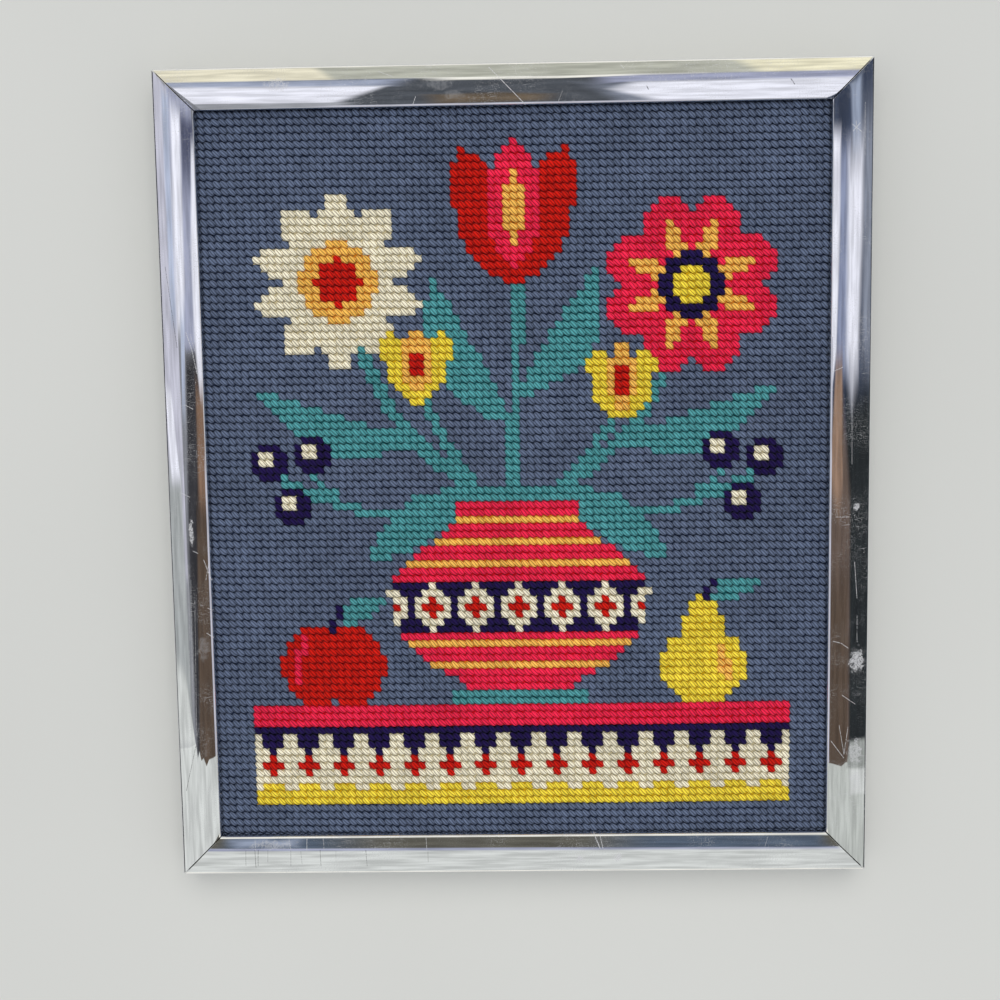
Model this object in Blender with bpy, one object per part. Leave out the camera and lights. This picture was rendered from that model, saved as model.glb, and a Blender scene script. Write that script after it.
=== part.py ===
"""Needlepoint canvas panel in a polished metal section frame.

The panel lies on its back. +Z is the worked face, +Y is the top of the picture, and the origin is the
middle of the back, on the surface below. All sizes are in metres.

Four mitred rails of one extruded section hold a flat canvas worked in wool. Its edges sit in the rails'
front channel, between the lip of the face and the web behind.
"""

import math

import bmesh
import bpy
from mathutils import Matrix

# Over all
WIDTH = 0.2456
HEIGHT = 0.2849
DEPTH = 0.0165

# Rail section. "In" is the distance from the outer wall towards the canvas, and tilts are slopes of the
# face along that direction: a band rises from the outer edge to a soft crease, and behind it the crown
# rises a little more and falls to the lip
FACE_WIDTH = 0.0142
BAND_REACH = 0.0047
WALL = 0.0012
WEB = 0.0011
WEB_REACH = 0.0116
FLANGE_REACH = 0.0105
OUTER_RADIUS = 0.0006
LIP_RADIUS = 0.0010
OUTER_TILT = math.radians(11)
BAND_TILT = math.radians(8)
CREASE_TILT = math.radians(5.5)
LIP_TILT = math.radians(-8.5)

# Worked canvas
CANVAS_BELOW_LIP = 0.0027
CANVAS_THICKNESS = 0.0028
CANVAS_STEP = 0.008
UNEVEN_FROM_LIP = 0.020
# Waves of the taut canvas: height, wave length along X and along Y over 2 pi, and shift in radians
UNEVEN_WAVES = (
    (0.00011, 0.0170, 0.0230, 0.9),
    (0.00009, -0.0190, 0.0160, 2.2),
    (0.00008, 0.0120, 0.0130, 0.0),
    (0.00006, 0.0150, -0.0110, 2.1),
)

# Room between pieces
GAP = 0.0003

# Steps of the round stretches
OUTER_STEPS = 6
BAND_STEPS = 3
CROWN_STEPS = 12
INNER_STEPS = 6
LIP_STEPS = 10


def clear_scene():
    for old in list(bpy.data.objects):
        bpy.data.objects.remove(old, do_unlink=True)


def metal_material():
    material = bpy.data.materials.new("polished_metal")
    material.use_nodes = True
    shader = material.node_tree.nodes["Principled BSDF"]
    shader.inputs["Base Color"].default_value = (0.80, 0.80, 0.82, 1)
    shader.inputs["Metallic"].default_value = 1.0
    shader.inputs["Roughness"].default_value = 0.14
    return material


def wool_material():
    material = bpy.data.materials.new("wool_stitches")
    material.use_nodes = True
    shader = material.node_tree.nodes["Principled BSDF"]
    shader.inputs["Base Color"].default_value = (0.09, 0.13, 0.22, 1)
    shader.inputs["Roughness"].default_value = 0.95
    return material


def arc(centre, radius, start, end, steps):
    """Points of a round stretch whose slope goes from start to end, both ends included."""
    points = []
    for i in range(steps + 1):
        tilt = start + (end - start) * i / steps
        points.append((centre[0] - radius * math.sin(tilt), centre[1] + radius * math.cos(tilt)))
    return points


def face_arcs():
    """(centre, radius) of the face's two round stretches, the band and the crown."""
    lip_in = FACE_WIDTH - LIP_RADIUS * (1 + math.sin(LIP_TILT))
    crown_radius = (lip_in - BAND_REACH) / (math.sin(CREASE_TILT) - math.sin(LIP_TILT))
    crown = (BAND_REACH + crown_radius * math.sin(CREASE_TILT), DEPTH - crown_radius)
    crease_up = crown[1] + crown_radius * math.cos(CREASE_TILT)
    outer_in = OUTER_RADIUS * (1 - math.sin(OUTER_TILT))
    band_radius = (BAND_REACH - outer_in) / (math.sin(OUTER_TILT) - math.sin(BAND_TILT))
    band = (
        BAND_REACH + band_radius * math.sin(BAND_TILT),
        crease_up - band_radius * math.cos(BAND_TILT),
    )
    return (band, band_radius), (crown, crown_radius)


def levels():
    """Heights of the lip's and the canvas's faces above the back."""
    _, (crown, crown_radius) = face_arcs()
    lip_top = crown[1] + crown_radius * math.cos(LIP_TILT)
    canvas_top = lip_top - CANVAS_BELOW_LIP
    canvas_back = canvas_top - CANVAS_THICKNESS
    return lip_top, canvas_top, canvas_back


def rail_section():
    """The rail's outline as (in, up) points, from the outer back corner up and round."""
    (band, band_radius), (crown, crown_radius) = face_arcs()
    _, canvas_top, canvas_back = levels()
    outer_up = band[1] + (band_radius - OUTER_RADIUS) * math.cos(OUTER_TILT)
    lip_up = crown[1] + (crown_radius - LIP_RADIUS) * math.cos(LIP_TILT)
    lip_foot = canvas_top + GAP
    web_top = canvas_back - GAP
    return_in = FACE_WIDTH - WALL
    inner_crown = crown_radius - WALL
    inner_band = band_radius - WALL
    tilt_at_return = math.asin((crown[0] - return_in) / inner_crown)
    tilt_at_wall = math.asin((band[0] - WALL) / inner_band)

    points = [(0, 0)]
    points += arc((OUTER_RADIUS, outer_up), OUTER_RADIUS, math.pi / 2, OUTER_TILT, OUTER_STEPS)
    points += arc(band, band_radius, OUTER_TILT, BAND_TILT, BAND_STEPS)[1:]
    points += arc(crown, crown_radius, CREASE_TILT, LIP_TILT, CROWN_STEPS)[1:]
    points += arc((FACE_WIDTH - LIP_RADIUS, lip_up), LIP_RADIUS, LIP_TILT, -math.pi / 2, LIP_STEPS)[1:]
    points += [(FACE_WIDTH, lip_foot), (return_in, lip_foot)]
    # The inner side follows the face at the wall's thickness, and cuts its corner under the crease
    points += arc(crown, inner_crown, tilt_at_return, CREASE_TILT, INNER_STEPS)[:-1]
    points += arc(band, inner_band, BAND_TILT, tilt_at_wall, BAND_STEPS)
    points += [
        (WALL, web_top),
        (WEB_REACH, web_top),
        (WEB_REACH, web_top - WEB),
        (WALL, web_top - WEB),
        (WALL, WALL),
        (FLANGE_REACH, WALL),
        (FLANGE_REACH, 0),
    ]
    return points


def make_rail(name, length, out_from_middle, turn, material):
    """A rail with both ends mitred, its outer wall out_from_middle from the origin, turned about +Z."""
    section = rail_section()
    mesh = bmesh.new()
    ends = []
    for side in (-1, 1):
        # Half of the room at a mitre, measured along the rail
        half = length / 2 - GAP / 2 * math.sqrt(2)
        ends.append([
            mesh.verts.new((side * (half - inward), out_from_middle - inward, up))
            for inward, up in section
        ])
    left, right = ends
    count = len(section)
    for i in range(count):
        j = (i + 1) % count
        mesh.faces.new((left[i], left[j], right[j], right[i]))
    mesh.faces.new(left)
    mesh.faces.new(right)
    bmesh.ops.recalc_face_normals(mesh, faces=mesh.faces)
    bmesh.ops.rotate(mesh, verts=mesh.verts, matrix=Matrix.Rotation(turn, 3, "Z"))
    finish(name, mesh, material)


def uneven(x, y):
    """How far the taut canvas swells at a place, nothing where the frame holds it."""
    fade = 1.0
    for place, size in ((x, WIDTH), (y, HEIGHT)):
        from_lip = size / 2 - FACE_WIDTH - abs(place)
        share = min(max(from_lip / UNEVEN_FROM_LIP, 0), 1)
        fade *= share * share * (3 - 2 * share)
    return fade * sum(
        height * math.sin(x / along_x + y / along_y + shift)
        for height, along_x, along_y, shift in UNEVEN_WAVES
    )


def make_canvas(material):
    """The worked canvas, one taut sheet whose edges lie in the rails' channel."""
    _, top, _ = levels()
    half_x = WIDTH / 2 - WALL - GAP
    half_y = HEIGHT / 2 - WALL - GAP
    columns = round(2 * half_x / CANVAS_STEP)
    rows = round(2 * half_y / CANVAS_STEP)
    mesh = bmesh.new()
    faces = []
    for drop in (0, CANVAS_THICKNESS):
        grid = []
        for j in range(rows + 1):
            y = half_y * (2 * j / rows - 1)
            grid.append([])
            for i in range(columns + 1):
                x = half_x * (2 * i / columns - 1)
                grid[j].append(mesh.verts.new((x, y, top - drop + uneven(x, y))))
        faces.append(grid)
    for grid in faces:
        for j in range(rows):
            for i in range(columns):
                mesh.faces.new((grid[j][i], grid[j][i + 1], grid[j + 1][i + 1], grid[j + 1][i]))
    front, back = (edge_loop(grid) for grid in faces)
    for i in range(len(front)):
        j = (i + 1) % len(front)
        mesh.faces.new((front[i], back[i], back[j], front[j]))
    bmesh.ops.recalc_face_normals(mesh, faces=mesh.faces)
    finish("canvas", mesh, material)


def edge_loop(grid):
    """A grid's points round its edge, counterclockwise from the first corner."""
    right_side = [row[-1] for row in grid[1:]]
    left_side = [row[0] for row in grid[1:-1]]
    return grid[0] + right_side + grid[-1][-2::-1] + left_side[::-1]


def finish(name, mesh, material):
    data = bpy.data.meshes.new(name)
    mesh.to_mesh(data)
    mesh.free()
    data.shade_smooth()
    data.set_sharp_from_angle(angle=math.radians(35))
    data.materials.append(material)
    obj = bpy.data.objects.new(name, data)
    bpy.context.scene.collection.objects.link(obj)


def make_frame(material):
    make_rail("rail_top", WIDTH, HEIGHT / 2, 0, material)
    make_rail("rail_left", HEIGHT, WIDTH / 2, math.pi / 2, material)
    make_rail("rail_bottom", WIDTH, HEIGHT / 2, math.pi, material)
    make_rail("rail_right", HEIGHT, WIDTH / 2, -math.pi / 2, material)


clear_scene()
make_frame(metal_material())
make_canvas(wool_material())
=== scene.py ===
"""Looks of the needlepoint panel: wool tent stitches on canvas in a frame of polished metal section.

The panel lies on its back on a pale floor, the top of the picture towards +Y. Sizes are in metres. Lengths
along the rails and across their faces, in the tables of scratches and of cards, are in millimetres.
"""

from math import asin, atan2, ceil, cos, dist, pi, radians, sin, sqrt

import bmesh
import bpy
import numpy as np
from mathutils import Matrix, Vector


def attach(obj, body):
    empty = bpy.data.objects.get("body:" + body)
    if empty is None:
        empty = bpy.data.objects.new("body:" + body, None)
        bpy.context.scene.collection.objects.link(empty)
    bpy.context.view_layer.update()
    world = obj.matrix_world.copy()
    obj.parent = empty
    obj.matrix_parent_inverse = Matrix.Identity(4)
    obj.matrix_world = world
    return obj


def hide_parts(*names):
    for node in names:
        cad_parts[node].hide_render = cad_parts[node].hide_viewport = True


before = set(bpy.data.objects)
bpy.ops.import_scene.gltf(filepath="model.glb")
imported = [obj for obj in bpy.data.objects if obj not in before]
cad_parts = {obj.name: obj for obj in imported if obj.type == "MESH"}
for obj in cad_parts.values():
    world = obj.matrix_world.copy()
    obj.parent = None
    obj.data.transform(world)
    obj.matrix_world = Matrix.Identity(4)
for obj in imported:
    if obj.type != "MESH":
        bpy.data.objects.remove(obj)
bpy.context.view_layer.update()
SCENE = bpy.context.scene

# Frame, as the solids have it. "In" is the distance from a rail's outer wall towards the canvas
WIDTH = 0.2456
HEIGHT = 0.2849
DEPTH = 0.0165
FACE_WIDTH = 0.0142
WALL = 0.0012
WEB = 0.0011
WEB_REACH = 0.0116
FLANGE_REACH = 0.0105
OUTER_RADIUS = 0.0006
LIP_RADIUS = 0.0010
BAND_REACH = 0.0047
OUTER_TILT = radians(11)
BAND_TILT = radians(8)
CREASE_TILT = radians(5.5)
LIP_TILT = radians(-8.5)
GAP = 0.0003

# Steps of the round stretches, and the broken edge at a mitre
OUTER_STEPS = 10
BAND_STEPS = 12
CROWN_STEPS = 36
INNER_STEPS = 10
LIP_STEPS = 16
MITRE_BEVEL = 0.00007

# Canvas and its unevenness, as the solid has it
CANVAS_BELOW_LIP = 0.0027
CANVAS_THICKNESS = 0.0028
UNEVEN_FROM_LIP = 0.020
UNEVEN_WAVES = (
    (0.00011, 0.0170, 0.0230, 0.9),
    (0.00009, -0.0190, 0.0160, 2.2),
    (0.00008, 0.0120, 0.0130, 0.0),
    (0.00006, 0.0150, -0.0110, 2.1),
)
THREADS_THICKNESS = 0.0006
THREADS_BELOW_WOOL = 0.00125

# Stitches between the lips, and those hidden under them on each side
COLUMNS = 85
ROWS = 98
HIDDEN = 1
PITCH_X = (WIDTH - 2 * FACE_WIDTH) / COLUMNS
PITCH_Y = (HEIGHT - 2 * FACE_WIDTH) / ROWS
PITCH = sqrt(PITCH_X * PITCH_Y)

# A stitch: a plump strand of wool that leans down to the right and dives into the canvas at both ends
STITCH_TILT = radians(-34)
STITCH_REACH = 0.72 * PITCH
STITCH_HALF_WIDTH = 0.42 * PITCH
STITCH_HALF_HEIGHT = 0.00066
STITCH_DIVE = 0.00075
STITCH_RINGS = (-0.85, -0.48, 0.0, 0.48, 0.85)
STITCH_TURNS = (0, 0.14, 0.265, 0.385, 0.5, 0.615, 0.735, 0.86)

# A strand of the back: it runs on behind the canvas to the start of the next stitch
BACK_TILT = atan2(-PITCH_Y, 2 * PITCH_X)
BACK_REACH = 1.14 * PITCH
BACK_HALF_WIDTH = 0.31 * PITCH
BACK_HALF_HEIGHT = 0.00040
BACK_DIVE = 0.00040
BACK_RINGS = (-0.62, 0.62)
BACK_TURNS = (0, 0.2, 0.37, 0.5, 0.63, 0.8)

# How full a strand is along its length, how late its ends dive, and the rim of its cell of the baked image
SWELL_POWER = 2.6
DIVE_POWER = 2.8
CELL_MARGIN = 0.06

SLATE_PIECES = 4
# Cells of canvas past the last stitches, next to the strip at its edge
BARE_CELLS = 1

# Wool colours, in sRGB
WOOLS = {
    "slate": (95, 107, 131),
    "pink": (236, 40, 76),
    "teal": (80, 152, 156),
    "cream": (238, 230, 204),
    "navy": (32, 20, 72),
    "red": (202, 26, 16),
    "yellow": (240, 214, 66),
    "gold": (245, 188, 88),
}
WOOL_NAMES = list(WOOLS)
CANVAS_COLOUR = (214, 205, 180)
# Between the stitches each wool's linear colour goes to this power, deeper and more saturated: canvas
# printed in the wool's colour, with painted shade
GAP_SHADE_POWER = 1.8

# Camera, fitted to the edges of the frame in the photo
CAMERA_PLACE = (0.00899, 0.07002, 0.60606)
CAMERA_TURN = (-7.463, 1.342, -0.903)
FOCAL_LENGTH = 61.2
SENSOR = 36.0

# Length, outer wall's distance from the middle, and turn about +Z of each rail
SIDES = {
    "top": (WIDTH, HEIGHT / 2, 0),
    "left": (HEIGHT, WIDTH / 2, pi / 2),
    "bottom": (WIDTH, HEIGHT / 2, pi),
    "right": (HEIGHT, WIDTH / 2, -pi / 2),
}


# Levels of the frame and the canvas

def face_arcs():
    """(centre, radius) of the face's two round stretches, the band and the crown."""
    lip_in = FACE_WIDTH - LIP_RADIUS * (1 + sin(LIP_TILT))
    crown_radius = (lip_in - BAND_REACH) / (sin(CREASE_TILT) - sin(LIP_TILT))
    crown = (BAND_REACH + crown_radius * sin(CREASE_TILT), DEPTH - crown_radius)
    crease_up = crown[1] + crown_radius * cos(CREASE_TILT)
    outer_in = OUTER_RADIUS * (1 - sin(OUTER_TILT))
    band_radius = (BAND_REACH - outer_in) / (sin(OUTER_TILT) - sin(BAND_TILT))
    band = (
        BAND_REACH + band_radius * sin(BAND_TILT),
        crease_up - band_radius * cos(BAND_TILT),
    )
    return (band, band_radius), (crown, crown_radius)


(BAND, BAND_RADIUS), (CROWN, CROWN_RADIUS) = face_arcs()
LIP = (FACE_WIDTH - LIP_RADIUS, CROWN[1] + (CROWN_RADIUS - LIP_RADIUS) * cos(LIP_TILT))
CANVAS_TOP = CROWN[1] + CROWN_RADIUS * cos(LIP_TILT) - CANVAS_BELOW_LIP
CANVAS_BACK = CANVAS_TOP - CANVAS_THICKNESS


def uneven(x, y):
    """How far the taut canvas swells at places, nothing where the frame holds it."""
    fade = np.ones_like(x)
    for place, size in ((x, WIDTH), (y, HEIGHT)):
        from_lip = size / 2 - FACE_WIDTH - np.abs(place)
        share = np.clip(from_lip / UNEVEN_FROM_LIP, 0, 1)
        fade = fade * share * share * (3 - 2 * share)
    swell = sum(
        height * np.sin(x / along_x + y / along_y + shift)
        for height, along_x, along_y, shift in UNEVEN_WAVES
    )
    return fade * swell


# The design: a vase of flowers on a laid table, with an apple and a pear. Places are columns and rows of
# stitches from the lower left corner. A shape is a mask, true where it covers a stitch's middle

STITCH_U, STITCH_V = np.meshgrid(
    np.arange(-HIDDEN, COLUMNS + HIDDEN) + 0.5,
    np.arange(-HIDDEN, ROWS + HIDDEN) + 0.5,
)
# A hidden stitch has the wool of the nearest one in view
U = np.clip(STITCH_U, 0.5, COLUMNS - 0.5)
V = np.clip(STITCH_V, 0.5, ROWS - 0.5)
MIDDLE = COLUMNS / 2
# Share of its length by which a stalk runs on at each end
STALK_PAST_ENDS = 0.02


def oval(middle, reach, turn=0.0):
    x, y = U - middle[0], V - middle[1]
    across = x * cos(turn) + y * sin(turn)
    along = y * cos(turn) - x * sin(turn)
    return (across / reach[0]) ** 2 + (along / reach[1]) ** 2 <= 1


def rows_between(low, high):
    return (V > low) & (V < high)


def block(left, right, low, high):
    return (U > left) & (U < right) & rows_between(low, high)


def turned(middle, outline):
    """A shape that is alike on both sides of a column, from (row, half width) pairs."""
    rows, widths = zip(*outline)
    return np.abs(U - middle) < np.interp(V, rows, widths, left=-1, right=-1)


def bowed(root, tip, bow):
    """Distance aside of a line bowed by a share of its length, share of the way along, and bulge."""
    long = dist(root, tip)
    along_u, along_v = (tip[0] - root[0]) / long, (tip[1] - root[1]) / long
    along = ((U - root[0]) * along_u + (V - root[1]) * along_v) / long
    aside = (V - root[1]) * along_u - (U - root[0]) * along_v
    bulge = np.sin(np.pi * np.clip(along, 0, 1))
    return np.abs(aside - bow * long * bulge), along, bulge


def leaf(root, tip, width, bow=0.0):
    """A leaf that is pointed at both ends."""
    aside, along, bulge = bowed(root, tip, bow)
    return (aside < width / 2 * bulge ** 0.8) & (along > 0) & (along < 1)


def stalk(root, tip, width, bow=0.0):
    aside, along, _ = bowed(root, tip, bow)
    return (aside < width / 2) & (along > -STALK_PAST_ENDS) & (along < 1 + STALK_PAST_ENDS)


def teeth(left, right, top, drop, pitch):
    """Points that hang from a row."""
    from_middle = np.abs(((U - left) / pitch) % 1 - 0.5) * 2
    return block(left, right, top - drop * (1 - from_middle), top)


def scallops(left, right, low, reach, pitch):
    """Round humps on a row."""
    place = ((U - left) / pitch) % 1 - 0.5
    hump = reach * np.sqrt(np.clip(1 - 4 * place ** 2, 0, 1)) + 0.6
    return block(left, right, low, low + hump)


def petals(middle, count, start, reach, width, shift=0.0):
    """Round petals about a middle, from start to reach."""
    found = np.zeros(U.shape, bool)
    from_middle = (start + reach) / 2
    for i in range(count):
        turn = 2 * pi * (i + shift) / count
        place = (middle[0] + from_middle * sin(turn), middle[1] + from_middle * cos(turn))
        found |= oval(place, (width / 2, (reach - start) / 2), -turn)
    return found


STEMS = (
    # root, tip, width, bow
    ((42, 46), (43, 78), 1.7, 0),
    ((39, 46), (20, 70), 1.7, 0.10),
    ((46, 46), (65, 68), 1.7, -0.10),
    ((38, 46), (29.5, 61), 1.5, 0.03),
    ((47, 46), (56.5, 58), 1.5, -0.03),
    ((37, 45), (9.5, 49.5), 1.4, 0.10),
    ((48, 45), (75.5, 49.5), 1.4, -0.10),
    ((15.5, 47.5), (14, 52), 1.2, 0),
    ((69.5, 47.5), (71, 52), 1.2, 0),
    ((17.5, 47.5), (11.5, 45.5), 1.2, 0),
    ((67.5, 47.5), (73.5, 45.5), 1.2, 0),
)
LEAVES = (
    # root, tip, width, bow
    ((42, 56), (31, 76), 6.0, 0.10),
    ((43, 60), (54, 77), 6.0, -0.10),
    ((29, 54), (7, 61), 5.4, 0.10),
    ((56, 54), (78, 61), 5.4, -0.10),
    ((36, 47), (22, 38), 6.0, -0.05),
    ((49, 47), (63, 38), 6.0, 0.05),
)
BERRIES = ((14.5, 52.5), (8.5, 51.5), (11.5, 45.5))
BERRY_REACH = (2.6, 2.6)
GLINT_REACH = (0.8, 0.8)
VASE_OUTLINE = (
    # row, half width
    (18, 10), (19.6, 9.6), (20.6, 7.5), (25, 14.5), (30, 17.8), (34, 18.1),
    (38, 15.5), (42, 9.5), (44, 8.4), (46.2, 9.2), (48.4, 12),
)
VASE_STRIPES = (23, 26, 37, 40, 43)
VASE_BAND = (28, 35)
VASE_RIM = (46, 48.4)
VASE_FOOT = (18, 20)
LOZENGE_WIDTH = 6
LOZENGE_REACH = 3.2
CLOTH = (5, 80, 4, 18)
CLOTH_HEM = 15
CLOTH_REPEAT = 5


def sew_plants(dye):
    for stem in STEMS:
        dye(stalk(*stem), "teal")
    for blade in LEAVES:
        dye(leaf(*blade), "teal")


def sew_daisy(dye, middle):
    dye(petals(middle, 10, 3.2, 11.6, 4.9), "cream")
    dye(oval(middle, (5.1, 5.1)), "gold")
    dye(oval(middle, (3.1, 3.1)), "red")


def sew_round_flower(dye, middle):
    dye(petals(middle, 8, 2.0, 12.0, 8.0, 0.5), "pink")
    dye(petals(middle, 8, 3.0, 8.8, 2.6, 0.5), "gold")
    dye(oval(middle, (4.4, 4.4)), "navy")
    dye(oval(middle, (2.3, 2.3)), "yellow")


def sew_tulip(dye, middle, size, outer, inner, heart):
    """A cup of three pointed petals, its middle at the cup's widest row."""
    x, y = middle
    outline = ((-1, 0.8 / size), (-0.8, 0.5), (-0.3, 0.86), (0.25, 0.84), (0.6, 0.74))
    dye(turned(x, [(y + row * size, half * size) for row, half in outline]), outer)
    for way in (-1, 1):
        root = (x + way * 0.45 * size, y - 0.4 * size)
        tip = (x + way * 0.85 * size, y + 1.1 * size)
        dye(leaf(root, tip, 0.85 * size, way * 0.05), outer)
    dye(leaf((x, y - 0.8 * size), (x, y + 1.25 * size), 0.95 * size), inner)
    dye(leaf((x, y - 0.45 * size), (x, y + 0.75 * size), 0.34 * size), heart)


def sew_berries(dye):
    for column, row in BERRIES:
        for x in (column, COLUMNS - column):
            dye(oval((x, row), BERRY_REACH), "navy")
            dye(oval((x - 0.5, row + 0.5), GLINT_REACH), "cream")


def sew_vase(dye):
    vase = turned(MIDDLE, VASE_OUTLINE)
    dye(vase, "pink")
    for row in VASE_STRIPES:
        dye(vase & rows_between(row, row + 1), "gold")
    dye(vase & rows_between(*VASE_BAND), "navy")
    across = np.abs(((U - MIDDLE) / LOZENGE_WIDTH + 0.5) % 1 - 0.5) * 2
    from_lozenge = across + np.abs(V - sum(VASE_BAND) / 2) / LOZENGE_REACH
    dye(vase & (from_lozenge < 1), "cream")
    dye(vase & (from_lozenge < 0.45), "red")
    for rows in (VASE_RIM, VASE_FOOT):
        dye(vase & rows_between(*rows), "teal")


def sew_fruit(dye):
    for x in (14, 19):
        dye(oval((x, 23.6), (4.6, 5.4)), "red")
    dye(stalk((16.5, 28), (17.5, 32), 1.2), "navy")
    dye(leaf((17.5, 29.5), (24, 32.5), 3.2, 0.05), "teal")
    dye(leaf((11.8, 21), (12.5, 27.5), 1.8, 0.1), "pink")
    dye(oval((68, 23.2), (5.9, 5.2)), "yellow")
    dye(turned(68, ((23, 5.4), (28, 3.2), (31.4, 2.2), (32.8, 0.6))), "yellow")
    dye(stalk((68, 32), (69.5, 35), 1.2), "navy")
    dye(leaf((69, 32.5), (75.5, 34.5), 3.2, 0.05), "teal")
    dye(leaf((71.5, 20.5), (71, 27), 1.8, 0.1), "gold")


def sew_cloth(dye):
    left, right, low, high = CLOTH
    cloth = block(*CLOTH)
    dye(cloth, "cream")
    dye(block(left, right, CLOTH_HEM, high), "pink")
    dye(teeth(left, right, CLOTH_HEM, 4.4, CLOTH_REPEAT), "navy")
    dye(scallops(left, right, low, 2.6, CLOTH_REPEAT), "yellow")
    from_cross = np.abs(((U - left) / CLOTH_REPEAT) % 1 - 0.5) * CLOTH_REPEAT + np.abs(V - 9.5)
    dye(cloth & (from_cross < 1.6), "red")


def design():
    """Wool of each stitch, as its number in WOOL_NAMES."""
    chart = np.zeros(U.shape, int)

    def dye(mask, wool):
        chart[mask] = WOOL_NAMES.index(wool)

    sew_plants(dye)
    sew_daisy(dye, (18.5, 75.5))
    sew_round_flower(dye, (66.5, 74.5))
    sew_tulip(dye, (42.5, 83.5), 8.4, "red", "pink", "gold")
    sew_tulip(dye, (29.0, 64.0), 4.6, "yellow", "gold", "red")
    sew_tulip(dye, (57.0, 61.5), 4.6, "yellow", "gold", "red")
    sew_berries(dye)
    sew_vase(dye)
    sew_fruit(dye)
    sew_cloth(dye)
    return chart


# Materials

def linear(colour):
    """An sRGB colour of 0 to 255 as Blender's linear one."""
    shares = [value / 255 for value in colour]
    return tuple(s / 12.92 if s <= 0.04045 else ((s + 0.055) / 1.055) ** 2.4 for s in shares) + (1.0,)


def new_material(name):
    material = bpy.data.materials.new(name)
    material.use_nodes = True
    tree = material.node_tree
    return material, tree, tree.nodes["Principled BSDF"]


def is_socket(value):
    return isinstance(value, bpy.types.NodeSocket)


def tree_of(values):
    """The node tree of the sockets among some values."""
    return next(value.id_data for value in values if is_socket(value))


def fill(made, inputs):
    """Sets each of a node's inputs to a value, or joins it to another node's output."""
    for name, value in inputs.items():
        if is_socket(value):
            made.id_data.links.new(value, made.inputs[name])
        else:
            made.inputs[name].default_value = value


def node(tree, kind, inputs=None, **settings):
    made = tree.nodes.new("ShaderNode" + kind)
    for name, value in settings.items():
        setattr(made, name, value)
    fill(made, inputs or {})
    return made


def calc(operation, *values, clamp=False):
    inputs = dict(enumerate(values))
    return node(tree_of(values), "Math", inputs, operation=operation, use_clamp=clamp).outputs[0]


def vector_calc(operation, *values, output="Vector"):
    inputs = dict(enumerate(values))
    return node(tree_of(values), "VectorMath", inputs, operation=operation).outputs[output]


def fold(operation, values):
    """Some values taken together, such as their product or the greatest of them."""
    result, *others = values
    for value in others:
        result = calc(operation, result, value)
    return result


def remap(value, low, high, to_low, to_high):
    """A value between low and high as one between to_low and to_high, eased and clamped."""
    inputs = {"Value": value, "From Min": low, "From Max": high, "To Min": to_low, "To Max": to_high}
    return node(value.id_data, "MapRange", inputs, interpolation_type="SMOOTHSTEP").outputs["Result"]


def noise(place, scale, detail=2.0, roughness=0.5):
    inputs = {"Vector": place, "Scale": scale, "Detail": detail, "Roughness": roughness}
    return node(place.id_data, "TexNoise", inputs).outputs["Fac"]


def tinted(colour, factor):
    """A colour times a factor."""
    tree = factor.id_data
    grey = node(tree, "CombineColor", {"Red": factor, "Green": factor, "Blue": factor}).outputs["Color"]
    inputs = {"Factor": 1.0, "A": colour, "B": grey}
    return node(tree, "Mix", inputs, data_type="RGBA", blend_type="MULTIPLY").outputs["Result"]


def relief(*layers):
    """Bumps on bumps, from (height, distance) pairs."""
    normal = {}
    for height, distance in layers:
        bump = node(height.id_data, "Bump", {"Height": height, "Distance": distance, **normal})
        normal = {"Normal": bump.outputs["Normal"]}
    return normal["Normal"]


# Wool: plies and how far they turn along a stitch, depths in metres, and pairs of tones that multiply its
# colour, from groove to crest, from fibre to fibre, from patch to patch and so on. From groove to crest is
# painted shade in the grooves and painted highlight on the crests; towards the tips is painted shade where
# a stitch dives into the canvas
PLIES = 6
PLY_TWIST = 0.9
PLY_BUMP = 0.00022
FIBRE_BUMP = 0.00005
FIBRE_SCALE = (5.0, 4.5, 91.0)
# Painted shade in the grooves between plies, painted highlight on their crests
PLY_SHADE_AND_HIGHLIGHT_TONES = (0.54, 1.38)
FIBRE_TONES = (0.88, 1.12)
PATCH_TONES = (0.93, 1.06)
STITCH_TONES = (0.88, 1.10)
# Painted shade towards each tip, where a stitch dives into the canvas
TIP_SHADE_TONES = (1.0, 0.45)
PATCH_SCALE = 45.0
CHANCE_TURNS = 7.0


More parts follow.
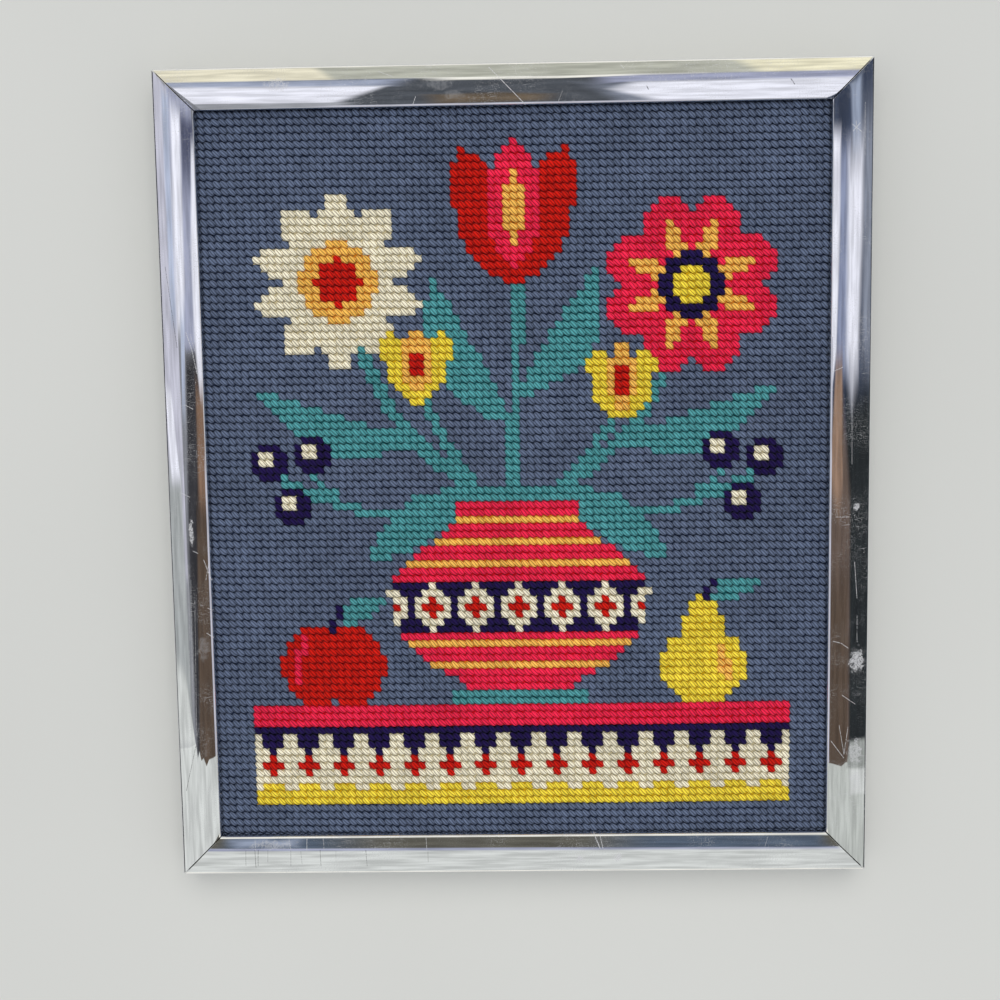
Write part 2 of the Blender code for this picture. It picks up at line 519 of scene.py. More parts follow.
def wool_material(name, colour):
    """Soft twisted wool: grooves between its plies with painted shade, painted highlight on their crests,
    painted shade at the tips, fine fibres, and small changes from stitch to stitch.
    """
    material, tree, shader = new_material("wool_" + name)
    stitch = node(tree, "Attribute", attribute_name="stitch").outputs["Vector"]
    split = node(tree, "SeparateXYZ", {"Vector": stitch}).outputs
    along, around, chance = split["X"], split["Y"], split["Z"]
    twist = calc("MULTIPLY_ADD", along, PLY_TWIST, calc("MULTIPLY", chance, CHANCE_TURNS))
    phase = calc("MULTIPLY_ADD", around, PLIES, twist)
    wave = calc("SINE", calc("MULTIPLY", phase, 2 * pi))
    ply = calc("POWER", calc("MULTIPLY_ADD", wave, 0.5, 0.5), 0.6)
    strand = node(tree, "CombineXYZ", {"X": along, "Y": phase, "Z": chance}).outputs["Vector"]
    fibres = noise(vector_calc("MULTIPLY", strand, FIBRE_SCALE), 1.0, 3.0, 0.65)
    patches = noise(node(tree, "TexCoord").outputs["Object"], PATCH_SCALE)
    other_chance = node(tree, "TexWhiteNoise", {"W": chance}, noise_dimensions="1D").outputs["Value"]
    from_middle = calc("ABSOLUTE", calc("MULTIPLY_ADD", along, 2.0, -1.0))
    # Tones of the colour: the ply ones are painted shade and painted highlight, the tip ones painted shade
    tones = (
        remap(ply, 0, 1, *PLY_SHADE_AND_HIGHLIGHT_TONES),
        remap(fibres, 0.3, 0.7, *FIBRE_TONES),
        remap(patches, 0.3, 0.7, *PATCH_TONES),
        remap(other_chance, 0, 1, *STITCH_TONES),
        remap(from_middle, 0.70, 1.0, *TIP_SHADE_TONES),
    )
    fill(shader, {
        "Base Color": tinted(linear(colour), fold("MULTIPLY", tones)),
        "Roughness": 0.85,
        "Specular IOR Level": 0.10,
        "Sheen Weight": 0.05,
        "Sheen Roughness": 0.5,
        "Normal": relief((ply, PLY_BUMP), (fibres, FIBRE_BUMP)),
    })
    return material


WEAVE_BUMP = 0.0002
THREAD_FIBRE_SCALE = 3000.0


def canvas_material():
    """Single-thread canvas, printed in the wools' colours under them and darkened there as painted shade."""
    material, tree, shader = new_material("canvas_threads")
    # Cell colours, deepened under the wool as painted shade between the stitches
    colour = node(tree, "Attribute", attribute_name="thread_colour").outputs["Color"]
    place = node(tree, "TexCoord").outputs["Object"]
    split = node(tree, "SeparateXYZ", {"Vector": place}).outputs
    threads = []
    for axis, pitch in (("X", PITCH_X), ("Y", PITCH_Y)):
        phase = calc("MULTIPLY", split[axis], pi / pitch)
        threads.append(calc("ABSOLUTE", calc("SINE", phase)))
    weave = fold("MAXIMUM", threads)
    fibres = noise(place, THREAD_FIBRE_SCALE, detail=3.0)
    tones = (remap(weave, 0.4, 1.0, 0.5, 1.05), remap(fibres, 0.3, 0.7, 0.85, 1.1))
    fill(shader, {
        "Base Color": tinted(colour, fold("MULTIPLY", tones)),
        "Roughness": 0.9,
        "Specular IOR Level": 0.2,
        "Normal": relief((fibres, FIBRE_BUMP), (weave, WEAVE_BUMP)),
    })
    return material


# Wear of the polished metal. Places are in millimetres from the middle of the panel

SCRATCHES = (
    # start, end, width, strength
    ((-7.5, 140.9), (4.6, 128.4), 0.4, 0.9), ((-32.6, 131.5), (-33.6, 128.8), 0.35, 0.8),
    ((17.3, 132.5), (15.8, 128.9), 0.3, 0.5), ((-45.2, 140.3), (-39.8, 138.2), 0.35, 0.6),
    ((36.9, 141.1), (38.2, 139.7), 0.35, 0.7), ((59.2, 140.3), (60.5, 141.3), 0.35, 0.6),
    ((-114.1, 53.1), (-112.3, 46.9), 0.35, 0.8), ((-112.3, 46.9), (-110.8, 38.6), 0.35, 0.7),
    ((-112.7, 52.4), (-111.2, 46.2), 0.3, 0.6), ((-115.4, 27.8), (-112.7, 26.3), 0.35, 0.8),
    ((-118.1, -3.1), (-115.1, -4.6), 0.35, 0.7), ((-111.0, -27.1), (-108.1, -36.0), 0.35, 0.8),
    ((-109.2, -27.8), (-110.5, -34.2), 0.3, 0.7), ((-110.2, -44.4), (-108.1, -45.5), 0.35, 0.8),
    ((-110.9, -53.4), (-108.5, -55.2), 0.35, 0.8), ((-116.7, -28.8), (-117.0, -55.9), 0.25, 0.5),
    ((-115.8, -34.2), (-116.8, -77.7), 0.25, 0.45), ((-114.7, -41.4), (-115.9, -90.5), 0.25, 0.5),
    ((-117.5, -59.5), (-118.0, -88.6), 0.25, 0.5), ((-114.7, -23.8), (-113.0, -24.6), 0.35, 0.8),
    ((-96.4, -129.6), (-96.2, -133.4), 0.35, 0.6), ((-93.5, -129.7), (-94.0, -133.0), 0.35, 0.5),
    ((-84.1, -129.4), (-83.5, -133.5), 0.35, 0.6), ((-77.6, -129.4), (-77.7, -133.5), 0.45, 0.6),
    ((-71.7, -129.1), (-71.5, -133.2), 0.35, 0.5), ((-34.6, -129.3), (-34.4, -133.5), 0.4, 0.6),
    ((25.8, -128.3), (27.9, -133.5), 0.5, 0.9), ((27.9, -128.7), (28.9, -133.5), 0.4, 0.8),
    ((88.0, -129.5), (86.9, -133.2), 0.3, 0.5), ((115.2, 119.8), (118.3, 117.4), 0.4, 0.9),
    ((115.6, 117.5), (117.9, 120.1), 0.4, 0.8), ((116.5, 120.8), (116.9, 116.8), 0.4, 0.6),
    ((109.3, 36.0), (113.0, 37.7), 0.35, 0.7), ((116.2, 25.9), (116.4, 4.0), 0.35, 0.5),
    ((111.1, -14.5), (115.6, -14.5), 0.35, 0.7), ((117.7, -30.5), (118.7, -43.3), 0.35, 0.7),
    ((118.8, -49.3), (118.9, -59.1), 0.3, 0.6), ((110.5, -58.7), (113.3, -59.4), 0.35, 0.8),
    ((113.3, -59.4), (115.8, -61.2), 0.35, 0.8), ((113.8, -78.1), (118.4, -81.4), 0.35, 0.7),
    ((112.9, -89.1), (114.7, -99.6), 0.3, 0.7), ((114.7, -99.6), (116.0, -89.8), 0.3, 0.7),
    ((110.1, -94.8), (114.6, -100.9), 0.35, 0.8), ((119.6, 127.0), (119.7, 109.4), 0.4, 0.4),
)
NICKS = (
    # start, end, width, strength
    ((45.9, 133.6), (46.4, 132.6), 0.5, 1.0), ((94.5, 135.1), (95.7, 133.4), 0.5, 1.0),
    ((-120.5, 75.6), (-117.4, 47.7), 0.35, 0.7), ((-116.4, -94.6), (-120.6, -111.2), 0.35, 0.7),
    ((-99.8, -133.4), (-100.0, -139.2), 0.35, 0.5), ((-96.5, -133.4), (-96.4, -140.0), 0.4, 0.7),
    ((-95.3, -133.4), (-95.6, -139.3), 0.4, 0.7), ((-91.8, -133.4), (-92.0, -137.8), 0.3, 0.5),
    ((-83.5, -133.5), (-83.7, -139.4), 0.35, 0.5), ((-79.9, -133.9), (-79.6, -138.7), 0.3, 0.5),
    ((-72.9, -133.5), (-72.8, -139.5), 0.4, 0.6), ((-67.2, -133.9), (-67.3, -138.0), 0.3, 0.4),
    ((-56.4, -133.6), (-56.1, -139.6), 0.4, 0.6), ((-34.0, -134.2), (-34.0, -138.2), 0.3, 0.5),
)
SCUFFS = (
    # middle, reach, strength
    ((-79.5, 136.6), (5.6, 2.9), 0.5), ((-25.0, 135.8), (7.0, 2.8), 0.28),
    ((-19.1, 132.2), (5.2, 2.2), 0.3), ((-115.0, -17.4), (1.0, 6.3), 0.9),
    ((-112.2, -58.6), (3.0, 5.4), 0.3), ((-116.4, -58.8), (0.9, 33.0), 0.25),
    ((20.7, -137.5), (1.9, 1.6), 0.8), ((34.3, -136.8), (2.2, 2.2), 0.8),
    ((-90.0, -131.4), (11.0, 2.2), 0.45), ((118.1, -10.9), (1.4, 2.0), 0.8),
    ((118.8, -65.6), (3.1, 5.3), 1.0), ((118.6, -98.7), (3.7, 5.9), 0.6),
    ((119.3, -109.3), (2.8, 5.2), 0.5),
)
HAIRLINES = (
    # turn, how fine along and across, strength
    (8, 0.22, 5.0, 0.5), (-14, 0.25, 6.0, 0.45), (74, 0.3, 5.5, 0.4), (101, 0.28, 6.5, 0.45),
    (38, 0.35, 7.0, 0.35),
)
SCUFF_STROKES = (
    # turn, how fine along and across
    (68, 0.7, 3.6), (118, 0.8, 4.2), (22, 0.6, 3.4),
)
SPECK_STRENGTH = 0.55
METAL_COLOUR = (0.84, 0.845, 0.86, 1)
# What a mark does to the metal at its full strength: to its tone, how metallic it is, and its roughness
WORN_TONE = 0.82
WORN_METALLIC = 0.15
WORN_ROUGHNESS = 0.35
NICK_TONE = 0.3
# Waves of the polish: how fine, how many octaves more, and how deep in metres
METAL_WAVES = ((28.0, 1.0, 0.00016), (160.0, 2.0, 0.000012), (2600.0, 2.0, 0.0000012))


def new_group(name, **inputs):
    """A node group with inputs of the kinds given, and one mask as its output."""
    tree = bpy.data.node_groups.new(name, "ShaderNodeTree")
    for title, kind in inputs.items():
        tree.interface.new_socket(name=title, in_out="INPUT", socket_type="NodeSocket" + kind)
    tree.interface.new_socket(name="Mask", in_out="OUTPUT", socket_type="NodeSocketFloat")
    return tree, tree.nodes.new("NodeGroupInput").outputs, tree.nodes.new("NodeGroupOutput")


def scratch_group():
    """A mask along the line from a start to an end, broken up a little."""
    inputs = {"Place": "Vector", "Start": "Vector", "End": "Vector", "Width": "Float", "Strength": "Float"}
    tree, given, result = new_group("scratch", **inputs)
    line = vector_calc("SUBTRACT", given["End"], given["Start"])
    from_start = vector_calc("SUBTRACT", given["Place"], given["Start"])
    ahead = vector_calc("DOT_PRODUCT", from_start, line, output="Value")
    long = vector_calc("DOT_PRODUCT", line, line, output="Value")
    share = calc("DIVIDE", ahead, long, clamp=True)
    nearest = node(tree, "VectorMath", {"Vector": line, "Scale": share}, operation="SCALE").outputs["Vector"]
    aside = vector_calc("DISTANCE", from_start, nearest, output="Value")
    half = calc("MULTIPLY", given["Width"], 0.5)
    mask = remap(aside, half, calc("MULTIPLY", half, 0.3), 0, given["Strength"])
    broken = remap(noise(given["Place"], 2.2), 0.36, 0.52, 0.35, 1.0)
    fill(result, {"Mask": calc("MULTIPLY", mask, broken)})
    return tree


def stretched(place, turn, along, across):
    """Noise of long thin strokes that lie at a turn, in degrees from +X."""
    inputs = {"Vector": place, "Angle": radians(-turn)}
    turned_place = node(place.id_data, "VectorRotate", inputs, rotation_type="Z_AXIS").outputs["Vector"]
    return noise(vector_calc("MULTIPLY", turned_place, (along, across, 0)), 1.0, detail=1.0)


def scuff_group():
    """A mask of short rubbed strokes that cross in an uneven patch."""
    inputs = {"Place": "Vector", "Middle": "Vector", "Reach": "Vector", "Strength": "Float"}
    tree, given, result = new_group("scuff", **inputs)
    from_middle = vector_calc("SUBTRACT", given["Place"], given["Middle"])
    share = vector_calc("DIVIDE", from_middle, given["Reach"])
    out = vector_calc("LENGTH", share, output="Value")
    ragged = calc("MULTIPLY_ADD", noise(given["Place"], 0.6), 1.8, out)
    window = remap(ragged, 1.95, 1.25, 0, 1)
    strokes = [
        remap(stretched(given["Place"], turn, along, across), 0.46, 0.58, 0, 1)
        for turn, along, across in SCUFF_STROKES
    ]
    masks = (window, fold("MAXIMUM", strokes), given["Strength"])
    fill(result, {"Mask": fold("MULTIPLY", masks)})
    return tree


def nearest_side(x, y):
    """The side of the frame whose outer wall is nearest to a place in millimetres."""
    half_x, half_y = WIDTH / 2 * 1000, HEIGHT / 2 * 1000
    from_wall = {"top": half_y - y, "left": half_x + x, "bottom": half_y + y, "right": half_x - x}
    return min(from_wall, key=from_wall.get)


def marks(group, place, side, rows):
    """A mask for each row on a side, whose values go to the group's inputs in their order."""
    masks = []
    for row in rows:
        if nearest_side(*row[0]) == side:
            values = [(*value, 0) if isinstance(value, tuple) else value for value in row]
            mark = node(place.id_data, "Group", dict(enumerate([place, *values])), node_tree=group)
            masks.append(mark.outputs["Mask"])
    return masks


def metal_material(side, scratch, scuff):
    """Extrusion polished to a near mirror, slightly wavy, with hairlines, specks, scratches and scuffs."""
    material, tree, shader = new_material("polished_metal_" + side)
    place = node(tree, "TexCoord").outputs["Object"]
    flat = vector_calc("MULTIPLY", place, (1000, 1000, 0))
    hairs = [
        remap(stretched(flat, turn, along, across), 0.64, 0.73, 0, strength)
        for turn, along, across, strength in HAIRLINES
    ]
    specks = remap(noise(flat, 2.6), 0.57, 0.72, 0, SPECK_STRENGTH)
    patches = remap(noise(flat, 0.055, detail=3.0), 0.40, 0.60, 0.25, 1.0)
    slight = calc("MULTIPLY", fold("MAXIMUM", [*hairs, specks]), patches)
    strong = marks(scratch, flat, side, SCRATCHES) + marks(scuff, flat, side, SCUFFS)
    worn = fold("MAXIMUM", [slight, *strong])
    tone = remap(worn, 0, 1, 1, WORN_TONE)
    nicks = marks(scratch, flat, side, NICKS)
    if nicks:
        tone = calc("MULTIPLY", tone, remap(fold("MAXIMUM", nicks), 0, 1, 1, NICK_TONE))
    haze = remap(noise(flat, 0.055, detail=4.0, roughness=0.6), 0.35, 0.75, 0.04, 0.10)
    waves = [(noise(place, fine, detail), deep) for fine, detail, deep in METAL_WAVES]
    fill(shader, {
        "Base Color": tinted(METAL_COLOUR, tone),
        "Metallic": remap(worn, 0, 1, 1, WORN_METALLIC),
        "Roughness": calc("MULTIPLY_ADD", worn, WORN_ROUGHNESS, haze),
        "Normal": relief(*waves),
    })
    return material


# Rails

def arc(centre, radius, start, end, steps):
    """Points of a round stretch whose slope goes from start to end, both ends included."""
    points = []
    for i in range(steps + 1):
        tilt = start + (end - start) * i / steps
        points.append((centre[0] - radius * sin(tilt), centre[1] + radius * cos(tilt)))
    return points


def rail_section():
    """The rail's outline as (in, up) points, from the outer back corner up and round."""
    outer_up = BAND[1] + (BAND_RADIUS - OUTER_RADIUS) * cos(OUTER_TILT)
    lip_foot = CANVAS_TOP + GAP
    web_top = CANVAS_BACK - GAP
    return_in = FACE_WIDTH - WALL
    inner_crown = CROWN_RADIUS - WALL
    inner_band = BAND_RADIUS - WALL
    tilt_at_return = asin((CROWN[0] - return_in) / inner_crown)
    tilt_at_wall = asin((BAND[0] - WALL) / inner_band)

    points = [(0, 0)]
    points += arc((OUTER_RADIUS, outer_up), OUTER_RADIUS, pi / 2, OUTER_TILT, OUTER_STEPS)
    points += arc(BAND, BAND_RADIUS, OUTER_TILT, BAND_TILT, BAND_STEPS)[1:]
    points += arc(CROWN, CROWN_RADIUS, CREASE_TILT, LIP_TILT, CROWN_STEPS)[1:]
    points += arc(LIP, LIP_RADIUS, LIP_TILT, -pi / 2, LIP_STEPS)[1:]
    points += [(FACE_WIDTH, lip_foot), (return_in, lip_foot)]
    points += arc(CROWN, inner_crown, tilt_at_return, CREASE_TILT, INNER_STEPS)[:-1]
    points += arc(BAND, inner_band, BAND_TILT, tilt_at_wall, BAND_STEPS)
    points += [
        (WALL, web_top),
        (WEB_REACH, web_top),
        (WEB_REACH, web_top - WEB),
        (WALL, web_top - WEB),
        (WALL, WALL),
        (FLANGE_REACH, WALL),
        (FLANGE_REACH, 0),
    ]
    return points


def shrunk(section, by):
    """A section drawn in all round by a small distance."""
    count = len(section)
    points = []
    for i, (inward, up) in enumerate(section):
        before = Vector(section[i - 1])
        after = Vector(section[(i + 1) % count])
        here = Vector((inward, up))
        first, second = (here - before).normalized(), (after - here).normalized()
        # The outline runs clockwise, so its inside lies to the right of each step
        inside = Vector((first.y + second.y, -first.x - second.x)).normalized()
        spread = max(0.35, cos(first.angle(second) / 2))
        points.append((inward + inside.x * by / spread, up + inside.y * by / spread))
    return points


def new_object(name, data):
    made = bpy.data.objects.new(name, data)
    SCENE.collection.objects.link(made)
    return made


def make_rail(name, length, out_from_middle, turn, material):
    """A rail with both ends mitred and their edges just broken."""
    section = rail_section()
    inset = shrunk(section, MITRE_BEVEL)
    half = length / 2 - GAP / 2 * sqrt(2)
    mesh = bmesh.new()
    rings = []
    for side, outline, back in ((-1, inset, 0), (-1, section, 1), (1, section, 1), (1, inset, 0)):
        end = half - back * MITRE_BEVEL * sqrt(2)
        rings.append([mesh.verts.new((side * (end - i), out_from_middle - i, up)) for i, up in outline])
    for first, second in zip(rings, rings[1:]):
        for i in range(len(section)):
            mesh.faces.new((first[i - 1], first[i], second[i], second[i - 1]))
    mesh.faces.new(rings[0])
    mesh.faces.new(rings[-1])
    bmesh.ops.recalc_face_normals(mesh, faces=mesh.faces)
    bmesh.ops.rotate(mesh, verts=mesh.verts, matrix=Matrix.Rotation(turn, 3, "Z"))
    data = bpy.data.meshes.new(name)
    mesh.to_mesh(data)
    mesh.free()
    data.shade_smooth()
    data.set_sharp_from_angle(angle=radians(30))
    data.materials.append(material)
    return new_object(name, data)


def make_frame():
    scratch, scuff = scratch_group(), scuff_group()
    for side, (length, out, turn) in SIDES.items():
        rail = make_rail("polished_rail_" + side, length, out, turn, metal_material(side, scratch, scuff))
        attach(rail, "root")
        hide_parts("rail_" + side)


# Wool

class Strand:
    """A closed oval along an axis: rings of points between two tips, and its faces' corners."""

    def __init__(self, rings, turns):
        sides = len(turns)
        bounds = (*turns, 1.0)
        self.along = np.array([-1.0, *np.repeat(rings, sides), 1.0])
        self.around = np.array([0.0, *np.tile(turns, len(rings)), 0.0])
        self.points = len(self.along)

        def corner(level, side, between):
            """A point's number, its share of the way along and its turn. A tip lies between two sides."""
            point = min(max(0, 1 + (level - 1) * sides + side % sides), self.points - 1)
            return point, (self.along[point] + 1) / 2, bounds[side] if 0 < level <= len(rings) else between

        corners, sizes = [], []
        for m in range(sides):
            between = (bounds[m] + bounds[m + 1]) / 2
            for k in range(len(rings) + 1):
                around = ((k, m), (k + 1, m), (k + 1, m + 1), (k, m + 1))
                # At a tip two corners are one
                face = dict.fromkeys(corner(level, side, between) for level, side in around)
                corners += face
                sizes.append(len(face))
        corners = np.array(corners)
        self.corners = corners[:, 0].astype(int)
        self.places = corners[:, 1:]
        self.sizes = np.array(sizes)

    def lay(self, x, y, tilt, reach, half_width, half_height, crest, dive, facing):
        """Points of many strands, their measures in columns. facing is 1 where crests point up, or -1."""
        # The seam of each strand's places is on its hidden side
        angle = 2 * pi * self.around + (pi if facing > 0 else 0)
        swell = np.sqrt(np.clip(1 - np.abs(self.along) ** SWELL_POWER, 0, 1))
        ahead = self.along * reach
        aside = half_width * swell * np.sin(angle)
        up = half_height * (swell * np.cos(angle) - facing)
        up = up + crest - facing * dive * np.abs(self.along) ** DIVE_POWER
        to_x, to_y = np.cos(tilt), np.sin(tilt)
        return np.stack((x + ahead * to_x - aside * to_y, y + ahead * to_y + aside * to_x, up), axis=-1)


def strands_mesh(name, groups):
    """One mesh of many strands. A group is a Strand, its points and a chance number for each of them."""
    parts = []
    first_point = first_strand = 0
    for strand, laid, chance in groups:
        count = len(chance)
        starts = first_point + np.arange(count) * strand.points
        parts.append((
            laid.reshape(-1, 3),
            (strand.corners + starts[:, None]).ravel(),
            np.tile(strand.places, (count, 1)),
            np.tile(strand.sizes, count),
            np.repeat(chance, len(strand.corners)),
            np.repeat(first_strand + np.arange(count), len(strand.corners)),
        ))
        first_point += count * strand.points
        first_strand += count
    points, corners, places, sizes, chances, cells = (np.concatenate(part) for part in zip(*parts))

    mesh = bpy.data.meshes.new(name)
    mesh.vertices.add(len(points))
    mesh.vertices.foreach_set("co", points.ravel())
    mesh.loops.add(len(corners))
    mesh.loops.foreach_set("vertex_index", corners)
    mesh.polygons.add(len(sizes))
    mesh.polygons.foreach_set("loop_start", np.cumsum(sizes) - sizes)
    mesh.update(calc_edges=True)
    mesh.shade_smooth()

    stitch = mesh.attributes.new("stitch", "FLOAT_VECTOR", "CORNER")
    stitch.data.foreach_set("vector", np.column_stack((places, chances)).ravel())
    # Each strand has its own cell of a square grid, for a baked image of the material
    grid = ceil(sqrt(first_strand))
    cell = np.column_stack((cells % grid, cells // grid))
    baked = (cell + CELL_MARGIN + (1 - 2 * CELL_MARGIN) * places) / grid
    mesh.uv_layers.new(name="OFBake").uv.foreach_set("vector", baked.ravel())
    return mesh


def lay_stitches(chances):
    """The face's stitches and the back's strands with their points, hand-worked: no two are quite alike."""
    u, v = STITCH_U.reshape(-1, 1), STITCH_V.reshape(-1, 1)
    x = (u - COLUMNS / 2) * PITCH_X
    y = (v - ROWS / 2) * PITCH_Y
    x = x + 0.00014 * np.sin(v / 13 + 0.8) + 0.00008 * np.sin(v / 5.1 + u / 23)
    y = y + 0.00013 * np.sin(u / 15 + 2.1) + 0.00008 * np.sin(u / 6.3 + v / 19 + 1)
    row_pull = 1 + 0.035 * np.sin(v * 2.4 + np.sin(v * 1.3) * 2)

    def vary(size, share):
        return size * (1 + share * chances.uniform(-1, 1, u.shape))

    def stray(most):
        return most * chances.uniform(-1, 1, u.shape)

    face = Strand(STITCH_RINGS, STITCH_TURNS)
    face_points = face.lay(
        x + stray(0.04 * PITCH),
        y + stray(0.04 * PITCH),
        STITCH_TILT + stray(radians(5)),
        vary(STITCH_REACH, 0.06),
        vary(STITCH_HALF_WIDTH, 0.07) * row_pull,
        vary(STITCH_HALF_HEIGHT, 0.05),
        CANVAS_TOP + uneven(x, y) - np.abs(stray(0.00008)),
        STITCH_DIVE,
        1,
    )
    back = Strand(BACK_RINGS, BACK_TURNS)
    back_points = back.lay(
        x + PITCH_X / 2 + stray(0.05 * PITCH),
        y + stray(0.05 * PITCH),
        BACK_TILT + stray(radians(6)),
        vary(BACK_REACH, 0.06),
        vary(BACK_HALF_WIDTH, 0.12),
        vary(BACK_HALF_HEIGHT, 0.08),
        CANVAS_BACK + uneven(x, y) + np.abs(stray(0.00012)),
        BACK_DIVE,
        -1,
    )
    return (face, face_points), (back, back_points)


def make_wool(chart):
    chances = np.random.default_rng(85)
    laid = lay_stitches(chances)
    chance = chances.uniform(0, 1, chart.size)
    pieces = []
    for number, (wool, colour) in enumerate(WOOLS.items()):
        material = wool_material(wool, colour)
        shares = np.array_split(np.flatnonzero(chart == number), SLATE_PIECES if wool == "slate" else 1)
        for i, share in enumerate(shares):
            name = f"wool_{wool}_{i + 1}" if len(shares) > 1 else "wool_" + wool
            mesh = strands_mesh(name, [(strand, points[share], chance[share]) for strand, points in laid])
            mesh.materials.append(material)
            piece = new_object(name, mesh)
            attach(piece, "root")
            pieces.append(piece)
    return pieces


# Canvas

def thread_lines(count, pitch, half):
    """Where the canvas's cells part along one way, with the canvas's edges."""
    past = HIDDEN + BARE_CELLS
    lines = (np.arange(-past, count + past + 1) - count / 2) * pitch
    return np.concatenate(([-half], lines, [half]))


def thread_colours(chart):
    """Colour of each of the canvas's cells: printed in the wool's colour where wool covers it, darkened as
    painted shade between the stitches, and plain in its margin.
    """
    # Each wool's colour, deepened as painted shade between the stitches
    shaded_wool_tints = np.array([linear(colour) for colour in WOOLS.values()]) ** GAP_SHADE_POWER
    margin = BARE_CELLS + 1
    tall, wide = chart.shape
    colours = np.full((tall + 2 * margin, wide + 2 * margin, 4), linear(CANVAS_COLOUR))
    colours[margin:-margin, margin:-margin] = shaded_wool_tints[chart]
    return colours.reshape(-1, 4)


def quads(grid):
    return np.stack((grid[:-1, :-1], grid[:-1, 1:], grid[1:, 1:], grid[1:, :-1]), -1).reshape(-1, 4)


def make_canvas(chart):
    """The canvas that the wool is worked on, with its unworked margin in the rails' channel."""
    half_x = WIDTH / 2 - WALL - GAP
    half_y = HEIGHT / 2 - WALL - GAP
    x, y = np.meshgrid(thread_lines(COLUMNS, PITCH_X, half_x), thread_lines(ROWS, PITCH_Y, half_y))
    top = CANVAS_TOP - THREADS_BELOW_WOOL + uneven(x, y)
    points = np.stack([np.stack((x, y, up), -1) for up in (top, top - THREADS_THICKNESS)])

    front = np.arange(x.size).reshape(x.shape)
    back = front + x.size
    loop = np.concatenate((front[0, :-1], front[:-1, -1], front[-1, :0:-1], front[:0:-1, 0]))
    after = np.roll(loop, -1)
    edge = np.stack((after, loop, loop + x.size, after + x.size), -1)
    faces = np.concatenate((quads(front), quads(back)[:, ::-1], edge))
    cells = thread_colours(chart)
    colours = np.concatenate((cells, cells, np.tile(linear(CANVAS_COLOUR), (len(edge), 1))))

    mesh = bpy.data.meshes.new("canvas_threads")
    mesh.from_pydata(points.reshape(-1, 3).tolist(), [], faces.tolist())
    tint = mesh.attributes.new("thread_colour", "FLOAT_COLOR", "CORNER")
    tint.data.foreach_set("color", np.repeat(colours, 4, axis=0).ravel())
    mesh.shade_smooth()
    mesh.set_sharp_from_angle(angle=radians(40))
    mesh.materials.append(canvas_material())
    canvas = new_object("canvas_threads", mesh)
    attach(canvas, "root")
    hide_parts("canvas")
    return canvas, (2 * half_x, 2 * half_y)


# What the polished face mirrors: flat panels of one tone each, low over the rails, that only gloss sees.
# Corners are (along, in) in millimetres, where the camera finds them mirrored: along a rail clockwise from
# its middle, and in from its outer wall. Soft is how far the rim fades along and across. Later panels hang
# under the earlier ones

TONES = {
    "soot": (78, 82, 88), "olive": (180, 181, 168), "cream": (228, 222, 198), "straw": (236, 230, 200),
    "steel": (160, 168, 188), "snow": (232, 233, 243), "silver": (156, 158, 164), "glare": (240, 238, 228),
    "bark": (104, 92, 78), "lavender": (156, 160, 183), "frost": (130, 136, 150), "smoke": (128, 130, 136),
    "lilac": (192, 192, 205), "icy": (178, 187, 208), "bluish": (159, 163, 184), "dusk": (80, 84, 106),
    "coal": (54, 54, 58), "copper": (128, 102, 84), "umber": (86, 73, 63), "pewter": (164, 168, 168),
    "pearl": (202, 205, 202), "mist": (205, 208, 205), "night": (58, 66, 84), "pitch": (40, 44, 46),
    "ash": (134, 142, 168), "blotch": (150, 160, 180), "rust": (98, 84, 76), "tan": (146, 120, 102),
    "drab": (184, 188, 183), "haze": (150, 154, 150), "tide": (84, 96, 112), "moss": (94, 92, 84),
}
# What the round of each outer edge mirrors: side, tone, half its length, and how far in it reaches
CARD_GROUNDS = (
    ("left", "coal", 150, 0.1),
    ("right", "pitch", 150, 0.2),
    ("top", "glare", 130, 0.1),
    ("bottom", "glare", 130, 0.3),
)
GROUND_SOFT = (0.5, 0.1)
TOP_CARDS = (
    # tone, soft, corners
    ("soot", (0.5, 0.1), ((-126.5, 5), (127.5, 3.8), (110, 14), (-111.5, 14))),
    ("olive", (0.5, 0.6), ((-123, 0), (123.5, 0), (118.5, 5), (-118.5, 4.6))),
    ("cream", (6, 0.5), ((-126.5, 0), (-67, 0.2), (-60.5, 4.8), (-123.5, 4.8))),
    ("straw", (12, 0.5), ((76, 0), (127.5, 0), (124.5, 5), (85, 4.8))),
    ("steel", (18, 1.0), ((-126.5, 4.8), (-37, 5), (-42, 7.2), (-123.5, 6.8))),
    ("snow", (9, 1.3), ((-125, 6.4), (-43, 7.2), (-60.5, 12.6), (-116, 12.4))),
    ("silver", (12, 0.7), ((-120, 12), (-54, 12.4), (-59.5, 14), (-117, 14))),
    ("glare", (16, 0.5), ((-29, 4.6), (16.5, 4.8), (65.5, 4.6), (65.5, 5), (16.5, 5.6), (-24, 5.6))),
    ("bark", (14, 1.2), ((-27.5, 10.4), (-4, 10), (13, 10.8), (11.5, 12.8), (-25.5, 13))),
    ("frost", (22, 3.0), ((27, 7.8), (46.5, 7.6), (53, 13.2), (38.5, 14))),
    ("lavender", (12, 1.2), ((30, 5.6), (43.5, 5), (124.5, 4.6), (124.5, 7.4), (43.5, 7.2), (31.5, 7.6))),
    ("snow", (9, 1.4), ((33.5, 9.6), (42, 7.4), (121, 7), (116.5, 14), (51.5, 14), (43.5, 12))),
    ("lilac", (16, 0.2), ((-66, 13.3), (58, 13.3), (58, 14), (-66, 14))),
)
